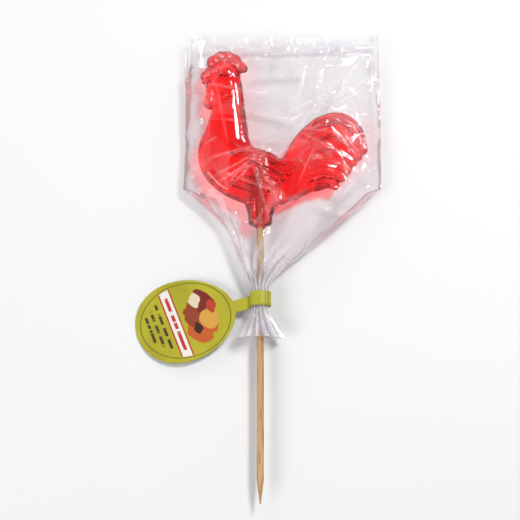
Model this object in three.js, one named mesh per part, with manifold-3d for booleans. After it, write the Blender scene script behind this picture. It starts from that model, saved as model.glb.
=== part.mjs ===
// A rooster lollipop that lies on its side: a moulded hard candy rooster on a pointed
// wooden skewer, in a clear film bag gathered round the skewer, with an oval paper label
// looped round the gather.
//
// Millimetres, +Z up. The long axis runs along Y, with the comb towards +Y and the point
// of the skewer towards -Y. The rooster faces -X. The shapes are drawn with the skewer's
// axis at x = 0 and the belly's lowest point at y = 0, and the group is moved at the end
// so that the middle of its footprint is the origin.

import * as THREE from 'three';
import { mergeVertices } from 'three/addons/utils/BufferGeometryUtils.js';
import { ParametricGeometry } from 'three/addons/geometries/ParametricGeometry.js';
import Module from 'manifold-3d';

const wasm = await Module();
wasm.setup();

// Clearance between pieces that touch.
const GAP = 0.3;

// Skewer.
const STICK_RADIUS = 1.5;
const STICK_LENGTH = 140;
const STICK_POINT = 10;
const STICK_TIP_RADIUS = 0.25;
const STICK_TOP = 18;

// Film bag.
const FILM = 0.35;
const BAG_TOP = 76.5;
const BAG_SHOULDER = 8;
const BAG_HALF_WIDTH = 42;
const BAG_CENTRE = 9.5;
const BAG_SEAM = 1.6;
const BAG_SEAM_HEIGHT = 5;
const BAG_HEIGHT = 13.6;
const BAG_SAG = 1.6;
const BAG_CLOSES_FROM = 20;
const NECK_TOP = -35;
const NECK_END = -43;
const NECK_RADIUS = 3.3;
const NECK_FADE = 12;
const SKIRT_END = -55;
const SKIRT_HALF_WIDTH = 9;
const SKIRT_HALF_HEIGHT = 4.4;
const PLEATS = 9;
const NECK_PLEAT = 0.1;
const SKIRT_PLEAT = 0.2;
const BAG_SIDES = 36;
const CRUMPLE = 0.8;
const FAN_FOLDS = 7.5;
const CROSS_FOLDS = 0.085;
const CROSS_SLANT = 2.2;
const CORNER_LIFT = 2.2;

// Candy.
const BODY_HALF = 4;
const BODY_ROUND = 3.3;
const CROWN_HALF = 4.9;
const CANDY_HALF = 5.5;
const STUB_LENGTH = 8;
const STUB_RADIUS = 4.8;
const CANDY_MIDDLE = FILM + GAP + CANDY_HALF;

// Label.
const LABEL_LENGTH = 42;
const LABEL_WIDTH = 34;
const PAPER = 0.6;
const LABEL_ANGLE = THREE.MathUtils.degToRad(75);
const LABEL_CURL = 1.6;
const LABEL_SIDES = 28;
const LOOP_WIDTH = 6;
const LOOP_SIDES = 24;
const WAIST_WIDTH = 5;
const LOOP_RADIUS = (NECK_RADIUS * (1 + NECK_PLEAT) + GAP) / Math.cos(Math.PI / LOOP_SIDES);
const LOOP_MIDDLE = (NECK_TOP + NECK_END) / 2;
const WAIST_LENGTH = 7;
const LABEL_NEAR = LOOP_RADIUS + WAIST_LENGTH;

// The side of the rooster from the saddle over the head, down the chest and the belly to
// the root of the tail. Comb, beak, wattle, tail and stub are forms of their own.
const BODY_OUTLINE = [
  [3.5, 21.6], [-3.2, 26.6], [-6.2, 36], [-6.9, 46], [-8, 54.5], [-10.2, 61],
  [-15.5, 64.3], [-20.8, 61.4], [-21.6, 55.5], [-20.4, 49], [-20.7, 41.5],
  [-23.2, 34], [-25.9, 26.5], [-26, 20], [-22.8, 12.6], [-16, 6.2], [-7, 1.9],
  [1.5, 0], [9, 1.2], [17, 5], [24.5, 9.6], [24.5, 16.5], [17, 21], [10, 21.2],
];

// The thin web that the tail feathers lie on.
const TAIL_OUTLINE = [
  [11, 19], [16.5, 30.5], [24.5, 37.8], [33, 39.6], [39.6, 35.2], [42.2, 28],
  [40, 22], [38.4, 17], [35.6, 12.4], [30, 9.4], [20, 7],
];
const TAIL_WEB_HALF = 2.1;

// The top and the lowest tail feather: root, two pull points and tip. The others lie
// evenly between them, and their tips step down the tail's edge.
const TAIL_FEATHERS = 6;
const TAIL_HIGH = { root: [12, 17.5], pull: [[17, 38], [41.5, 50.5]], tip: [43.3, 23], half: 3 };
const TAIL_LOW = { root: [12, 4.6], pull: [[19, 8], [27, 13.5]], tip: [32.8, 8.2], half: 2.3 };
const TAIL_HALF = 3.1;

// Wing feathers, raised on both faces of the body, likewise from the top one down.
const WING_FEATHERS = 4;
const WING_HIGH = { root: [-11.5, 21], pull: [[-4, 23.5], [3, 20.5]], tip: [12, 15], half: 1.9 };
const WING_LOW = { root: [-12.5, 11.5], pull: [[-8, 10.5], [-4, 8.7]], tip: [3, 6.2], half: 1.7 };
const WING_HALF = 1.1;
const WING_LEVEL = 4.35;

// Comb lobes stand on an arc over the head, and one long lobe hangs back from it.
const COMB_CENTRE = [-15.3, 60];
const COMB_ARC = 6;
const COMB_LOBE = 3.1;
const COMB_HALF = 2.9;
const COMB_ANGLES = [138, 107, 76, 46];

// An ellipsoid with its own radii, turned in the plane of the rooster.
function ellipsoid([x, y, z], [rx, ry, rz], turn = 0, sides = 18, rows = 10) {
  return new THREE.SphereGeometry(1, sides, rows)
    .rotateX(Math.PI / 2)
    .scale(rx, ry, rz)
    .rotateZ(THREE.MathUtils.degToRad(turn))
    .translate(x, y, z);
}

// A form with an oval section that follows a flat spine at one level. halfAt gives the
// section's half width and half thickness at a share of the way. Both ends are round.
function sweptForm(spine, level, halfAt, steps = 14, sides = 10) {
  const length = spine.getLength();
  const surface = (u, v, target) => {
    const share = THREE.MathUtils.clamp((1 - Math.cos(Math.PI * v)) / 2, 0, 1);
    const centre = spine.getPointAt(share);
    const tangent = spine.getTangentAt(share);
    const [width, thickness] = halfAt(share);
    const toEnd = length * Math.min(share, 1 - share);
    const roundEnd = Math.sqrt(1 - Math.max(0, 1 - toEnd / width) ** 2);
    const sideways = Math.cos(2 * Math.PI * u) * width * roundEnd;
    const upwards = Math.sin(2 * Math.PI * u) * thickness * roundEnd;
    target.set(centre.x - tangent.y * sideways, centre.y + tangent.x * sideways, level + upwards);
  };
  return new ParametricGeometry(surface, sides, steps);
}

function spineOf({ root, pull, tip }) {
  const points = [root, ...pull, tip].map(([x, y]) => new THREE.Vector2(x, y));
  return new THREE.CubicBezierCurve(...points);
}

// A feather at a share of the way from the high one to the low one.
function featherBetween(high, low, share) {
  const between = (a, b) => a.map((value, axis) => THREE.MathUtils.lerp(value, b[axis], share));
  return {
    root: between(high.root, low.root),
    pull: high.pull.map((point, i) => between(point, low.pull[i])),
    tip: between(high.tip, low.tip),
    half: THREE.MathUtils.lerp(high.half, low.half, share),
  };
}

function feathersBetween(high, low, count) {
  return Array.from({ length: count }, (_, i) => featherBetween(high, low, i / (count - 1)));
}

function straightSpine(from, to) {
  return new THREE.LineCurve(new THREE.Vector2(...from), new THREE.Vector2(...to));
}

// A plate whose closed outline runs smoothly through the points, with rounded edges.
function roundedPlate(points, half, round, divisions, roundSteps) {
  const corners = points.map(([x, y]) => new THREE.Vector3(x, y, 0));
  const curve = new THREE.CatmullRomCurve3(corners, true, 'centripetal');
  const outline = curve.getPoints(divisions).slice(0, -1);
  const shape = new THREE.Shape(outline.map(({ x, y }) => new THREE.Vector2(x, y)));
  return new THREE.ExtrudeGeometry(shape, {
    depth: 2 * (half - round),
    bevelThickness: round,
    bevelSize: round,
    bevelOffset: -round,
    bevelSegments: roundSteps,
  }).translate(0, 0, round - half);
}

// A closed geometry as a solid: shared corners are merged and triangles that have
// shrunk to a line are dropped.
function toSolid(geometry) {
  const bare = geometry.clone();
  bare.deleteAttribute('normal');
  bare.deleteAttribute('uv');
  const merged = mergeVertices(bare, 1e-4);
  const index = merged.getIndex().array;
  const triangles = [];
  for (let i = 0; i < index.length; i += 3) {
    const [a, b, c] = index.slice(i, i + 3);
    if (a !== b && b !== c && c !== a) {
      triangles.push(a, b, c);
    }
  }
  return new wasm.Manifold(new wasm.Mesh({
    numProp: 3,
    vertProperties: new Float32Array(merged.getAttribute('position').array),
    triVerts: new Uint32Array(triangles),
  }));
}

function joined(geometries) {
  return geometries.map(toSolid).reduce((whole, piece) => whole.add(piece));
}

function toGeometry(solid) {
  const mesh = solid.getMesh();
  const geometry = new THREE.BufferGeometry();
  geometry.setAttribute('position', new THREE.BufferAttribute(mesh.vertProperties, 3));
  geometry.setIndex(new THREE.BufferAttribute(mesh.triVerts, 1));
  geometry.computeVertexNormals();
  return geometry;
}

// Slab of the body, with crowns that swell the breast, the neck and the head.
function bodyForms() {
  const neck = straightSpine([-11, 22], [-14.4, 60]);
  return [
    roundedPlate(BODY_OUTLINE, BODY_HALF, BODY_ROUND, 84, 3),
    ellipsoid([-5, 14.5, 0], [16, 11.5, CROWN_HALF], 0, 24, 10),
    sweptForm(neck, 0, (share) => [7.4 - 2 * share, CROWN_HALF - 0.3 * share], 10, 14),
    ellipsoid([-15, 58.2, 0], [6, 5.4, CROWN_HALF - 0.1], 0, 16, 10),
  ];
}

// Short tapered stub in which the skewer enters the belly.
function stub() {
  const profile = [
    [0, -STUB_LENGTH],
    [STUB_RADIUS - 0.8, -STUB_LENGTH],
    [STUB_RADIUS, 0.9 - STUB_LENGTH],
    [STUB_RADIUS + 0.4, -3],
    [STUB_RADIUS + 1.6, 2],
    [0, 6],
  ].map(([x, y]) => new THREE.Vector2(x, y));
  return new THREE.LatheGeometry(profile, 18).scale(1, 1, BODY_HALF / STUB_RADIUS);
}

function beakForms() {
  const upper = straightSpine([-17.5, 60.5], [-25.4, 56.8]);
  const lower = straightSpine([-17.5, 56.4], [-24.7, 55]);
  return [
    sweptForm(upper, 0, (share) => [4.4 - 2.9 * share, 3.7 - 1.9 * share], 9, 10),
    sweptForm(lower, 0, (share) => [2.6 - 1.5 * share, 3.2 - 1.7 * share], 7, 10),
  ];
}

function combForms() {
  const lobes = COMB_ANGLES.map((degrees) => {
    const angle = THREE.MathUtils.degToRad(degrees);
    const x = COMB_CENTRE[0] + COMB_ARC * Math.cos(angle);
    const y = COMB_CENTRE[1] + COMB_ARC * Math.sin(angle);
    return ellipsoid([x, y, 0], [COMB_LOBE, COMB_LOBE, COMB_HALF], degrees, 14, 8);
  });
  const [x, y] = COMB_CENTRE;
  const base = ellipsoid([x, y, 0], [COMB_ARC + 1, COMB_ARC + 1, COMB_HALF - 0.5], 0, 20, 6);
  const backLobe = ellipsoid([-8.6, 62.2, 0], [3.6, 2.3, COMB_HALF - 0.3], -38, 12, 8);
  return [base, ...lobes, backLobe];
}

function wattle() {
  const spine = straightSpine([-20.6, 56.2], [-21.5, 43]);
  return sweptForm(spine, 0, (share) => [1.9 + 1.1 * share, 3 + 0.6 * share], 10, 10);
}

function tailForms() {
  const feathers = feathersBetween(TAIL_HIGH, TAIL_LOW, TAIL_FEATHERS).map((feather) => {
    const halfAt = (share) => [feather.half * (1 - 0.35 * share), TAIL_HALF * (1 - 0.2 * share)];
    return sweptForm(spineOf(feather), 0, halfAt, 15, 8);
  });
  const web = roundedPlate(TAIL_OUTLINE, TAIL_WEB_HALF, 1.2, 44, 1);
  return [web, ...feathers];
}

// Wing feathers on their shoulder, eye and short neck marks on one face.
function reliefForms(face) {
  const feathers = feathersBetween(WING_HIGH, WING_LOW, WING_FEATHERS).map((feather) => {
    const halfAt = (share) => [feather.half * (1 - 0.3 * share), WING_HALF];
    return sweptForm(spineOf(feather), face * WING_LEVEL, halfAt, 8, 8);
  });
  const shoulder = ellipsoid([-9.5, 17, face * 4], [5.4, 6.6, CANDY_HALF - 4], 0, 14, 6);
  const eye = ellipsoid([-13.4, 59.9, face * 4.5], [1.15, 1.15, 0.9], 0, 10, 6);
  const marks = [50.8, 47.2].map((y) => {
    const spine = straightSpine([-17.4, y - 0.5], [-11.4, y + 0.2]);
    return sweptForm(spine, face * 4.5, () => [0.75, 0.75], 5, 6);
  });
  return [...feathers, shoulder, eye, ...marks];
}

function stickBore() {
  const low = -STUB_LENGTH - 1;
  const high = STICK_TOP + GAP;
  return new THREE.CylinderGeometry(STICK_RADIUS + GAP, STICK_RADIUS + GAP, high - low, 16)
    .translate(0, (high + low) / 2, 0);
}

function candyGeometry() {
  const forms = [
    ...bodyForms(), stub(), ...beakForms(), ...combForms(), wattle(), ...tailForms(),
    ...reliefForms(-1), ...reliefForms(1),
  ];
  const candy = joined(forms).subtract(toSolid(stickBore()));
  return toGeometry(candy).translate(0, 0, CANDY_MIDDLE);
}

function stickGeometry() {
  const end = STICK_TOP - STICK_LENGTH;
  const profile = [
    [0, end],
    [STICK_TIP_RADIUS, end],
    [STICK_RADIUS, end + STICK_POINT],
    [STICK_RADIUS, STICK_TOP],
    [0, STICK_TOP],
  ].map(([x, y]) => new THREE.Vector2(x, y));
  return new THREE.LatheGeometry(profile, 16).translate(0, 0, CANDY_MIDDLE);
}

// The bag's section at a place along Y: centre, half width, the height of its side seams,
// how far it rises above and falls below them, how deep its pleats are, and how square it
// is: 2 is round. top is where the faces meet in the top seam.
function bagSection(y, top) {
  const { smoothstep, lerp } = THREE.MathUtils;
  if (y < NECK_END) {
    const flare = ((NECK_END - y) / (NECK_END - SKIRT_END)) ** 1.2;
    const halfHeight = lerp(NECK_RADIUS, SKIRT_HALF_HEIGHT, flare);
    return {
      centre: 0,
      halfWidth: lerp(NECK_RADIUS, SKIRT_HALF_WIDTH, flare),
      seam: CANDY_MIDDLE,
      rise: halfHeight,
      fall: halfHeight,
      pleat: lerp(NECK_PLEAT, SKIRT_PLEAT, flare),
      square: 2,
    };
  }
  const open = THREE.MathUtils.clamp((y - NECK_TOP) / (BAG_SHOULDER - NECK_TOP), 0, 1);
  const fill = smoothstep(open, 0, 0.8);
  const towardsTop = Math.max(0, (y - BAG_CLOSES_FROM) / (top - BAG_CLOSES_FROM));
  const close = (1 - towardsTop ** 7) ** 0.5;
  return {
    centre: BAG_CENTRE * fill,
    halfWidth: lerp(NECK_RADIUS, BAG_HALF_WIDTH, open ** 1.3),
    seam: lerp(CANDY_MIDDLE, BAG_SEAM_HEIGHT, fill),
    rise: lerp(NECK_RADIUS, BAG_HEIGHT - BAG_SEAM_HEIGHT, fill) * close,
    fall: lerp(NECK_RADIUS, BAG_SEAM_HEIGHT + BAG_SAG, fill) * close,
    pleat: NECK_PLEAT * (1 - open) ** 2,
    square: lerp(2, 4, fill),
  };
}

// Broad folds of the upper film, which fan out from the neck and run across the bag.
function crumple(x, y) {
  const turn = Math.atan2(x, y - NECK_END);
  const reach = Math.hypot(x, y - NECK_END);
  const fan = Math.sin(FAN_FOLDS * turn + 0.4) ** 2;
  const across = Math.sin(CROSS_FOLDS * reach - CROSS_SLANT * turn) ** 2;
  return CRUMPLE * THREE.MathUtils.smoothstep(reach, 8, 50) * (fan + across - 0.6);
}

function evenly(from, to, count) {
  return Array.from({ length: count }, (_, i) => THREE.MathUtils.lerp(from, to, i / count));
}

// How far the inside of the bag lies in from its outer face: the film, or in the neck
// the whole gather.
function insetAt(y) {
  const beyond = Math.max(y - NECK_TOP, NECK_END - y, 0);
  const { smoothstep, lerp } = THREE.MathUtils;
  return lerp(NECK_RADIUS - STICK_RADIUS, FILM, smoothstep(beyond, 0, NECK_FADE));
}

// The bag as a closed pillow, or the smaller pillow of its inside. The seams, where the
// two faces are stuck together, are deeper. The inside runs on past the open end.
function bagPillow(inside) {
  const seam = inside ? BAG_SEAM : 0;
  const top = BAG_TOP - seam;
  const stations = [
    ...evenly(0, 1, 15).map((share) => THREE.MathUtils.lerp(top, BAG_SHOULDER, share ** 1.4)),
    ...evenly(BAG_SHOULDER, NECK_TOP, 9),
    ...evenly(NECK_TOP, NECK_END, 2),
    ...evenly(NECK_END, SKIRT_END, 3),
    inside ? SKIRT_END - 1 : SKIRT_END,
  ];
  const surface = (u, v, target) => {
    const row = Math.round(v * stations.length);
    const y = stations[Math.min(row, stations.length - 1)];
    const section = bagSection(Math.max(SKIRT_END, y), top);
    if (row === stations.length) {
      target.set(section.centre, y, section.seam);
      return;
    }
    const inset = inside ? insetAt(y) : 0;
    const sideInset = Math.max(inset, seam * Math.min(1, section.halfWidth / BAG_HALF_WIDTH));
    const angle = 2 * Math.PI * u;
    const side = Math.cos(angle);
    const upper = Math.sin(angle) > 0;
    const pleat = 1 + section.pleat * Math.cos(PLEATS * angle);
    const depth = Math.max(0, (upper ? section.rise : section.fall) * pleat - inset);
    const bulge = Math.sqrt(1 - Math.abs(side) ** section.square);
    const x = section.centre + (section.halfWidth * pleat - sideInset) * side;
    const outwards = Math.abs(x - section.centre) / section.halfWidth;
    const lift = CORNER_LIFT * outwards ** 6 * Math.max(0, y / BAG_TOP) ** 3;
    const swell = upper ? depth + crumple(x, y) * Math.min(1, depth / 4) : -depth;
    const height = section.seam + lift + swell * bulge;
    target.set(x, y, Math.max(inside ? FILM : 0, height));
  };
  return new ParametricGeometry(surface, BAG_SIDES, stations.length);
}

// The skewer's way through the gathered neck.
function neckBore() {
  const radius = STICK_RADIUS + GAP;
  const length = NECK_TOP - SKIRT_END;
  return new THREE.CylinderGeometry(radius, radius, length, 16)
    .translate(0, NECK_TOP - length / 2 + NECK_FADE / 2, CANDY_MIDDLE);
}

function bagGeometry() {
  const inside = toSolid(bagPillow(true)).add(toSolid(neckBore()));
  return toGeometry(toSolid(bagPillow(false)).subtract(inside));
}

// A place on the label's sheet, measured along it from the neck's axis, across it and up
// from its middle. The sheet comes down from the neck until its far end lies flat, and
// its sides curl up.
function onSheet(along, across, above) {
  const away = along / (LABEL_NEAR + LABEL_LENGTH);
  const rest = PAPER / 2;
  const slope = rest + (CANDY_MIDDLE - rest) * Math.max(0, 1 - away) ** 1.6;
  const curl = LABEL_CURL * away * (2 * across / LABEL_WIDTH) ** 2;
  return new THREE.Vector3(
    -Math.sin(LABEL_ANGLE) * along + Math.cos(LABEL_ANGLE) * across,
    LOOP_MIDDLE - Math.cos(LABEL_ANGLE) * along - Math.sin(LABEL_ANGLE) * across,
    slope + curl + above,
  );
}

// The oval field, a little narrower near the neck.
function labelOval() {
  const rings = [0, 0.5, 0.8, 1];
  const rows = [...rings.map((ring) => [ring, -1]), ...rings.toReversed().map((ring) => [ring, 1])];
  const surface = (u, v, target) => {
    const [ring, face] = rows[Math.round(v * (rows.length - 1))];
    const angle = 2 * Math.PI * u;
    const along = LABEL_NEAR + LABEL_LENGTH / 2 * (1 + ring * Math.cos(angle));
    const across = LABEL_WIDTH / 2 * ring * Math.sin(angle) * (1 + 0.1 * Math.cos(angle));
    target.copy(onSheet(along, across, face * PAPER / 2));
  };
  return new ParametricGeometry(surface, LABEL_SIDES, rows.length - 1);
}

// The narrow waist between the loop and the oval.
function labelWaist() {
  const length = LABEL_NEAR + 2;
  const strip = new THREE.BoxGeometry(length, WAIST_WIDTH, 0.8 * PAPER, 5, 1, 1)
    .translate(length / 2, 0, 0);
  const position = strip.getAttribute('position');
  for (let i = 0; i < position.count; i += 1) {
    const place = onSheet(position.getX(i), position.getY(i), position.getZ(i));
    position.setXYZ(i, place.x, place.y, place.z);
  }
  return strip;
}

function labelLoop() {
  const profile = [
    [LOOP_RADIUS, -LOOP_WIDTH / 2],
    [LOOP_RADIUS + PAPER, -LOOP_WIDTH / 2],
    [LOOP_RADIUS + PAPER, LOOP_WIDTH / 2],
    [LOOP_RADIUS, LOOP_WIDTH / 2],
    [LOOP_RADIUS, -LOOP_WIDTH / 2],
  ].map(([x, y]) => new THREE.Vector2(x, y));
  return new THREE.LatheGeometry(profile, LOOP_SIDES).translate(0, LOOP_MIDDLE, CANDY_MIDDLE);
}

function labelGeometry() {
  const inLoop = new THREE.CylinderGeometry(LOOP_RADIUS, LOOP_RADIUS, 4 * LOOP_WIDTH, LOOP_SIDES)
    .translate(0, LOOP_MIDDLE, CANDY_MIDDLE);
  const sheet = joined([labelOval(), labelWaist()]).subtract(toSolid(inLoop));
  return toGeometry(sheet.add(toSolid(labelLoop())));
}

const lollipop = new THREE.Group();

function addPiece(name, geometry, color, roughness, options = {}) {
  const material = new THREE.MeshStandardMaterial({ color, roughness, metalness: 0, ...options });
  const mesh = new THREE.Mesh(geometry, material);
  mesh.name = name;
  lollipop.add(mesh);
}

addPiece('candy', candyGeometry(), 0xe0101c, 0.12);
addPiece('stick', stickGeometry(), 0xc79b66, 0.75);
addPiece('film_bag', bagGeometry(), 0xf2eef4, 0.08, { transparent: true, opacity: 0.25 });
addPiece('label', labelGeometry(), 0xb4b81e, 0.6);

const { min, max } = new THREE.Box3().setFromObject(lollipop);
lollipop.position.set(-(min.x + max.x) / 2, -(min.y + max.y) / 2, 0);

export default lollipop;
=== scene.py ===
"""The looks of a rooster lollipop that lies on its side.

A clear red boiled-sugar rooster on a wooden skewer, in a creased clear film bag that is
gathered round the skewer, with an oval paper label looped round the gather.

Shapes are drawn in millimetres from one place: the skewer's axis, level with the belly's
lowest point. +Y runs along the skewer to the comb, the rooster faces -X, and +Z is up.
"""
import math
import random
from functools import partial
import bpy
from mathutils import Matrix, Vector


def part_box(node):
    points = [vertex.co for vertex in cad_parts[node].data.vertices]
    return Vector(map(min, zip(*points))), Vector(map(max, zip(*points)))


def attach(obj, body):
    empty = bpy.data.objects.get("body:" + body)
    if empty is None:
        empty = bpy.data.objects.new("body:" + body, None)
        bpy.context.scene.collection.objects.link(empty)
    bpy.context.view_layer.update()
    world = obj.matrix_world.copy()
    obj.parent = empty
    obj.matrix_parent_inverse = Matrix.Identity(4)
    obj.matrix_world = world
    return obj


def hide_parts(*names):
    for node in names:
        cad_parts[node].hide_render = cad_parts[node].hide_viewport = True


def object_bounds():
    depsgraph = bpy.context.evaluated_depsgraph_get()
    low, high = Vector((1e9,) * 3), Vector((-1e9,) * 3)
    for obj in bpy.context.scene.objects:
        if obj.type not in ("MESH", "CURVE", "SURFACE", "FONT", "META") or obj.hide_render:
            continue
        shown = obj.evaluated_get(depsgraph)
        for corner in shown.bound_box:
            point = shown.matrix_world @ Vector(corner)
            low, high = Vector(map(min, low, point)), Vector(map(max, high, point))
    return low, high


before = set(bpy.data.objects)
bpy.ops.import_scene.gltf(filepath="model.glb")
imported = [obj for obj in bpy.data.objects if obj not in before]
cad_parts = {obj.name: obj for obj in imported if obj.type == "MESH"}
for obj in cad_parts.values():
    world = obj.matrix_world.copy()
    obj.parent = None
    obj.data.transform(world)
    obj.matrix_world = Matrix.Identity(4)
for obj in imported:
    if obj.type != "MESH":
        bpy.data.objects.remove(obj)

from types import SimpleNamespace

import bmesh
import bpy
import numpy as np
from mathutils import Vector, geometry, noise
from mathutils.bvhtree import BVHTree
from mathutils.kdtree import KDTree

CAD_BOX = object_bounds()

# Where the drawing's place is in the frame.
MM = 0.001
STICK_TOP = 18.0
STICK_LOW, STICK_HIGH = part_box("stick")
ORIGIN = np.array([
    (STICK_LOW.x + STICK_HIGH.x) / 2,
    STICK_HIGH.y - STICK_TOP * MM,
    (STICK_LOW.z + STICK_HIGH.z) / 2,
])
TABLE = -ORIGIN[2] / MM

# Skewer.
STICK_RADIUS = 1.5
STICK_LENGTH = 140.0
STICK_POINT = 10.0
STICK_TIP_RADIUS = 0.25
STICK_ROUGHNESS = 0.035
STICK_SIDES = 36

# Candy. A feather is its spine and its half width.
VOXEL = 0.31
SOFTENING = (0.5, 3)
CURVE_STEPS = 8
ROUND_STEPS = 8
BODY_HALF = 4.0
BODY_ROUND = 3.3
CROWN_HALF = 4.9
CANDY_HALF = 5.5
STUB_LENGTH = 8.0
STUB_RADIUS = 4.8
BODY_OUTLINE = [
    (3.5, 21.6), (-3.2, 26.6), (-6.2, 36), (-6.9, 46), (-8, 54.5), (-10.2, 61),
    (-15.5, 64.3), (-20.8, 61.4), (-21.6, 55.5), (-20.4, 49), (-20.7, 41.5),
    (-23.2, 34), (-25.9, 26.5), (-26, 20), (-22.8, 12.6), (-16, 6.2), (-7, 1.9),
    (1.5, 0), (9, 1.2), (17, 5), (24.5, 9.6), (24.5, 16.5), (17, 21), (10, 21.2),
]
TAIL_OUTLINE = [
    (11, 19), (16.5, 30.5), (24.5, 37.8), (33, 39.6), (39.6, 35.2), (42.2, 28),
    (40, 22), (38.4, 17), (35.6, 12.4), (30, 9.4), (20, 7),
]
TAIL_WEB_HALF = 1.6
TAIL_FEATHERS = 6
TAIL_HIGH = ([(12, 17.5), (17, 38), (41.5, 50.5), (43.3, 23)], 3.3)
TAIL_LOW = ([(12, 4.6), (19, 8), (27, 13.5), (32.8, 8.2)], 2.6)
TAIL_HALF = 3.1
TAIL_LINE_HALF = 0.65
TAIL_LINE_DEPTHS = (0.36, 0.55)
WING_FEATHERS = 5
WING_HIGH = ([(-11.5, 21), (-4, 23.5), (3, 20.5), (12.4, 15)], 1.75)
WING_LOW = ([(-12.5, 11.5), (-8, 10.5), (-4, 8.7), (3, 6.2)], 1.6)
WING_HALF = 1.25
WING_OUTLINE = [
    (-15, 17), (-13, 22.4), (-7, 24.6), (1, 23.4), (8, 19.6), (13.4, 14.8), (12, 12),
    (9.6, 9.8), (6, 6.6), (2, 4.7), (-5, 6.4), (-11.5, 10),
]
WING_PLATE_HALF = 4.35
WING_LEVEL = 4.2
EYE = (-15.6, 59.0)
EYE_RADIUS = 1.35
EYE_DEPTH = 1.2
EYE_RIM = 0.6
NECK_MARKS = (50.8, 47.2)
COMB_CENTRE = (-15.3, 60.0)
COMB_ARC = 6.0
COMB_LOBE = 3.1
COMB_HALF = 2.9
COMB_ANGLES = (138, 107, 76, 46)

# The candy's unevenness: how often it waves in each millimetre, and how far.
BROAD_WAVE = (0.16, 0.10)
FINE_WAVE = (0.5, 0.035)
PARTING_HALF = 0.42
PARTING_HEIGHT = 0.16

# Film bag.
BAG_TOP = 76.5
BAG_SHOULDER = 8.0
BAG_HALF_WIDTH = 42.0
BAG_CENTRE = 9.5
BAG_SEAM_HEIGHT = 5.0
BAG_HEIGHT = 13.6
BAG_SAG = 1.6
BAG_CLOSES_FROM = 20.0
SEAL_WIDTH = 3.5
NECK_TOP = -35.0
NECK_END = -43.0
NECK_RADIUS = 3.3
SKIRT_END = -55.0
SKIRT_HALF_WIDTH = 9.0
SKIRT_HALF_HEIGHT = 4.4
CORNER_LIFT = 2.2

# Label.
LABEL_LENGTH = 42.0
LABEL_WIDTH = 34.0
PAPER = 0.36
LABEL_ANGLE = math.radians(75)
LABEL_CURL = 1.6
LOOP_WIDTH = 6.0
WAIST_WIDTH = 5.0
LOOP_RADIUS = 3.96
LOOP_MIDDLE = (NECK_TOP + NECK_END) / 2
LABEL_NEAR = LOOP_RADIUS + 7.0
LABEL_END = LABEL_NEAR + LABEL_LENGTH
LABEL_REST = 0.3
LABEL_GRID = (130, 44)
LOOP_GRID = (90, 9)
LOOP_TURNS = 1.1


def smooth(low, high, value):
    """0 below low, 1 above high, and an even rise between them."""
    share = np.clip((np.asarray(value, float) - low) / (high - low), 0, 1)
    return share * share * (3 - 2 * share)


def mix(a, b, share):
    return a + (b - a) * share


def tent(distance):
    """1 on a crease and 0 at a distance of 1 or more, with straight sides."""
    return np.clip(1 - np.abs(distance), 0, None)


def circle(sides):
    """Even angles round a circle."""
    return np.linspace(0, 2 * math.pi, sides, endpoint=False)


def to_frame(points):
    """Points in the drawing's millimetres as places in the frame, in metres."""
    return np.asarray(points, float) * MM + ORIGIN


def linear(red, green, blue):
    """A display colour, 0 to 255, as the linear colour that shaders take."""
    values = [channel / 255 for channel in (red, green, blue)]
    return tuple(v / 12.92 if v <= 0.04045 else ((v + 0.055) / 1.055) ** 2.4 for v in values)


# Mesh making

def linked(name, data):
    """A new object in the scene."""
    thing = bpy.data.objects.new(name, data)
    bpy.context.scene.collection.objects.link(thing)
    return thing


def values_of(items, name, width, kind=float):
    """A value of each of a mesh's items, as an array with a row for each."""
    values = np.empty(len(items) * width, kind)
    items.foreach_get(name, values)
    return values.reshape(-1, width)


def drawn_places(mesh):
    """The mesh's points in the drawing's millimetres."""
    return (values_of(mesh.vertices, "co", 3) - ORIGIN) / MM


def new_piece(name, points, faces, materials):
    """A smooth-shaded mesh object from points in the drawing's millimetres."""
    mesh = bpy.data.meshes.new(name)
    mesh.from_pydata(to_frame(points).tolist(), [], faces)
    for material in materials:
        mesh.materials.append(material)
    mesh.shade_smooth()
    mesh.update()
    return linked(name, mesh)


def apply_modifiers(piece):
    evaluated = piece.evaluated_get(bpy.context.evaluated_depsgraph_get())
    mesh = bpy.data.meshes.new_from_object(evaluated)
    old = piece.data
    piece.modifiers.clear()
    piece.data = mesh
    bpy.data.meshes.remove(old)
    mesh.name = piece.name
    mesh.shade_smooth()


def grid_faces(rows, columns, start=0, wrap=False, flip=False):
    """Quads between the points of a grid that is stored row by row."""
    index = start + np.arange(rows * columns).reshape(rows, columns)
    if wrap:
        index = np.hstack([index, index[:, :1]])
    quads = np.stack([index[:-1, :-1], index[:-1, 1:], index[1:, 1:], index[1:, :-1]], -1)
    return quads.reshape(-1, 4)[:, ::-1 if flip else 1].tolist()


def closed_rings(rings):
    """Points and faces of rings of points, with a face over each end."""
    count = len(rings[0])
    points = np.concatenate(rings)
    faces = grid_faces(len(rings), count, wrap=True)
    faces.append(tuple(reversed(range(count))))
    faces.append(tuple(range(len(points) - count, len(points))))
    return points, faces


def ellipsoid(centre, radii, turn=0.0):
    """An ellipsoid, turned in the plane by degrees."""
    sides, rows = 40, 22
    angle = circle(sides)
    points, faces = closed_rings([
        np.stack([
            radii[0] * math.sin(polar) * np.cos(angle),
            radii[1] * math.sin(polar) * np.sin(angle),
            np.full(sides, -radii[2] * math.cos(polar)),
        ], 1)
        for polar in np.linspace(0.03, math.pi - 0.03, rows)
    ])
    cosine, sine = math.cos(math.radians(turn)), math.sin(math.radians(turn))
    turned = points @ np.array([[cosine, sine, 0], [-sine, cosine, 0], [0, 0, 1]])
    return turned + np.array(centre), faces


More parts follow.
